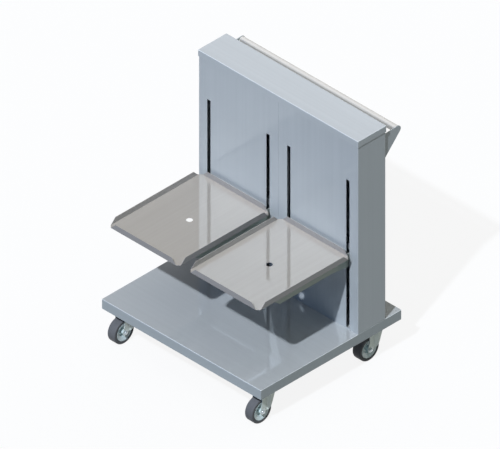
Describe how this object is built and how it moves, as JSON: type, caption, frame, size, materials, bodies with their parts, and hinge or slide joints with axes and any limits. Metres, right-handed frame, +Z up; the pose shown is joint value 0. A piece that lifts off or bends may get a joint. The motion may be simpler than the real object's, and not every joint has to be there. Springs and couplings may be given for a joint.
{
  "type": "mobile tray dispenser",
  "caption": "Castered self-levelling tray dispenser: sprung tray platforms cantilevered through slots in a sheet steel column on a flat base, with a rear push handle.",
  "frame": {"origin": "on the floor under the middle of the base", "axes": "+X to the right as the trays are taken, +Y back towards the push handle, +Z up"},
  "size_m": [0.863, 0.771, 1.092],
  "materials": {
    "stainless": "bright sheet",
    "galvanised": "galvanised",
    "zinc": "bright zinc plate",
    "spring_steel": "oiled wire",
    "bumper_rubber": "matt",
    "roller_plastic": "turned nylon",
    "tyre_rubber": "matt",
    "hub_plastic": "satin"
  },
  "bodies": {
    "chassis": {"base_deck": "stainless", "base_rails": "galvanised", "deck_stiffener": "galvanised", "caster_plates": "zinc", "swivel_races": "zinc", "kingpins": "zinc", "caster_bolts": "zinc", "left_casing": "stainless", "right_casing": "stainless", "back_panel": "stainless", "top_cap": "stainless", "centre_post": "galvanised", "left_tracks": "galvanised", "right_tracks": "galvanised", "spring_header": "galvanised", "left_springs": "spring_steel", "right_springs": "spring_steel", "handle_tube": "stainless", "left_handle_bracket": "stainless", "right_handle_bracket": "stainless", "back_screws": "zinc", "stop_bumpers": "bumper_rubber"},
    "left_carriage": {"left_platform": "stainless", "left_outer_arm": "stainless", "left_inner_arm": "stainless", "left_tie_bar": "galvanised", "left_spring_bar": "galvanised", "left_roller_pins": "zinc", "left_platform_nuts": "zinc"},
    "right_carriage": {"right_platform": "stainless", "right_outer_arm": "stainless", "right_inner_arm": "stainless", "right_tie_bar": "galvanised", "right_spring_bar": "galvanised", "right_roller_pins": "zinc", "right_platform_nuts": "zinc"},
    "left_outer_upper_roller": {"left_outer_upper_roller": "roller_plastic"},
    "left_outer_lower_roller": {"left_outer_lower_roller": "roller_plastic"},
    "left_inner_upper_roller": {"left_inner_upper_roller": "roller_plastic"},
    "left_inner_lower_roller": {"left_inner_lower_roller": "roller_plastic"},
    "right_outer_upper_roller": {"right_outer_upper_roller": "roller_plastic"},
    "right_outer_lower_roller": {"right_outer_lower_roller": "roller_plastic"},
    "right_inner_upper_roller": {"right_inner_upper_roller": "roller_plastic"},
    "right_inner_lower_roller": {"right_inner_lower_roller": "roller_plastic"},
    "front_left_caster": {"front_left_fork": "zinc", "front_left_axle": "zinc"},
    "front_left_wheel": {"front_left_tyre": "tyre_rubber", "front_left_hub": "hub_plastic"},
    "front_right_caster": {"front_right_fork": "zinc", "front_right_axle": "zinc"},
    "front_right_wheel": {"front_right_tyre": "tyre_rubber", "front_right_hub": "hub_plastic"},
    "rear_left_caster": {"rear_left_fork": "zinc", "rear_left_axle": "zinc"},
    "rear_left_wheel": {"rear_left_tyre": "tyre_rubber", "rear_left_hub": "hub_plastic"},
    "rear_right_caster": {"rear_right_fork": "zinc", "rear_right_axle": "zinc"},
    "rear_right_wheel": {"rear_right_tyre": "tyre_rubber", "rear_right_hub": "hub_plastic"}
  },
  "joints": [
    {"name": "left_slide", "type": "slide", "parent": "chassis", "child": "left_carriage", "axis": [0, 0, 1], "range_m": [-0.27, 0.275], "stiffness_N_per_m": 500, "springref_m": 0.1401, "deforming": ["left_springs"]},
    {"name": "right_slide", "type": "slide", "parent": "chassis", "child": "right_carriage", "axis": [0, 0, 1], "range_m": [-0.277, 0.268], "stiffness_N_per_m": 500, "springref_m": 0.1401, "deforming": ["right_springs"]},
    {"name": "left_outer_upper_roller_spin", "type": "hinge", "parent": "left_carriage", "child": "left_outer_upper_roller", "pos_m": [-0.3875, 0.2185, 0.706], "axis": [1, 0, 0], "range_deg": [-940, 940]},
    {"name": "left_outer_lower_roller_spin", "type": "hinge", "parent": "left_carriage", "child": "left_outer_lower_roller", "pos_m": [-0.3875, 0.2185, 0.502], "axis": [1, 0, 0], "range_deg": [-940, 940]},
    {"name": "left_inner_upper_roller_spin", "type": "hinge", "parent": "left_carriage", "child": "left_inner_upper_roller", "pos_m": [-0.043, 0.2185, 0.706], "axis": [1, 0, 0], "range_deg": [-940, 940]},
    {"name": "left_inner_lower_roller_spin", "type": "hinge", "parent": "left_carriage", "child": "left_inner_lower_roller", "pos_m": [-0.043, 0.2185, 0.502], "axis": [1, 0, 0], "range_deg": [-940, 940]},
    {"name": "right_outer_upper_roller_spin", "type": "hinge", "parent": "right_carriage", "child": "right_outer_upper_roller", "pos_m": [0.3875, 0.2185, 0.713], "axis": [1, 0, 0], "range_deg": [-940, 940]},
    {"name": "right_outer_lower_roller_spin", "type": "hinge", "parent": "right_carriage", "child": "right_outer_lower_roller", "pos_m": [0.3875, 0.2185, 0.509], "axis": [1, 0, 0], "range_deg": [-940, 940]},
    {"name": "right_inner_upper_roller_spin", "type": "hinge", "parent": "right_carriage", "child": "right_inner_upper_roller", "pos_m": [0.043, 0.2185, 0.713], "axis": [1, 0, 0], "range_deg": [-940, 940]},
    {"name": "right_inner_lower_roller_spin", "type": "hinge", "parent": "right_carriage", "child": "right_inner_lower_roller", "pos_m": [0.043, 0.2185, 0.509], "axis": [1, 0, 0], "range_deg": [-940, 940]},
    {"name": "front_left_swivel", "type": "hinge", "parent": "chassis", "child": "front_left_caster", "pos_m": [-0.37, -0.29, 0.134], "axis": [0, 0, 1], "continuous": true},
    {"name": "front_left_roll", "type": "hinge", "parent": "front_left_caster", "child": "front_left_wheel", "pos_m": [-0.37, -0.335, 0.053], "axis": [1, 0, 0], "continuous": true},
    {"name": "front_right_swivel", "type": "hinge", "parent": "chassis", "child": "front_right_caster", "pos_m": [0.37, -0.29, 0.134], "axis": [0, 0, 1], "continuous": true},
    {"name": "front_right_roll", "type": "hinge", "parent": "front_right_caster", "child": "front_right_wheel", "pos_m": [0.37, -0.335, 0.053], "axis": [1, 0, 0], "continuous": true},
    {"name": "rear_left_swivel", "type": "hinge", "parent": "chassis", "child": "rear_left_caster", "pos_m": [-0.37, 0.29, 0.134], "axis": [0, 0, 1], "continuous": true},
    {"name": "rear_left_roll", "type": "hinge", "parent": "rear_left_caster", "child": "rear_left_wheel", "pos_m": [-0.37, 0.245, 0.053], "axis": [1, 0, 0], "continuous": true},
    {"name": "rear_right_swivel", "type": "hinge", "parent": "chassis", "child": "rear_right_caster", "pos_m": [0.37, 0.29, 0.134], "axis": [0, 0, 1], "continuous": true},
    {"name": "rear_right_roll", "type": "hinge", "parent": "rear_right_caster", "child": "rear_right_wheel", "pos_m": [0.37, 0.245, 0.053], "axis": [1, 0, 0], "continuous": true}
  ],
  "couplings": [
    {"joint": "left_outer_upper_roller_spin", "follows": "left_slide", "rad_per_m": 57.143},
    {"joint": "left_outer_lower_roller_spin", "follows": "left_slide", "rad_per_m": -57.143},
    {"joint": "left_inner_upper_roller_spin", "follows": "left_slide", "rad_per_m": 57.143},
    {"joint": "left_inner_lower_roller_spin", "follows": "left_slide", "rad_per_m": -57.143},
    {"joint": "right_outer_upper_roller_spin", "follows": "right_slide", "rad_per_m": 57.143},
    {"joint": "right_outer_lower_roller_spin", "follows": "right_slide", "rad_per_m": -57.143},
    {"joint": "right_inner_upper_roller_spin", "follows": "right_slide", "rad_per_m": 57.143},
    {"joint": "right_inner_lower_roller_spin", "follows": "right_slide", "rad_per_m": -57.143}
  ]
}
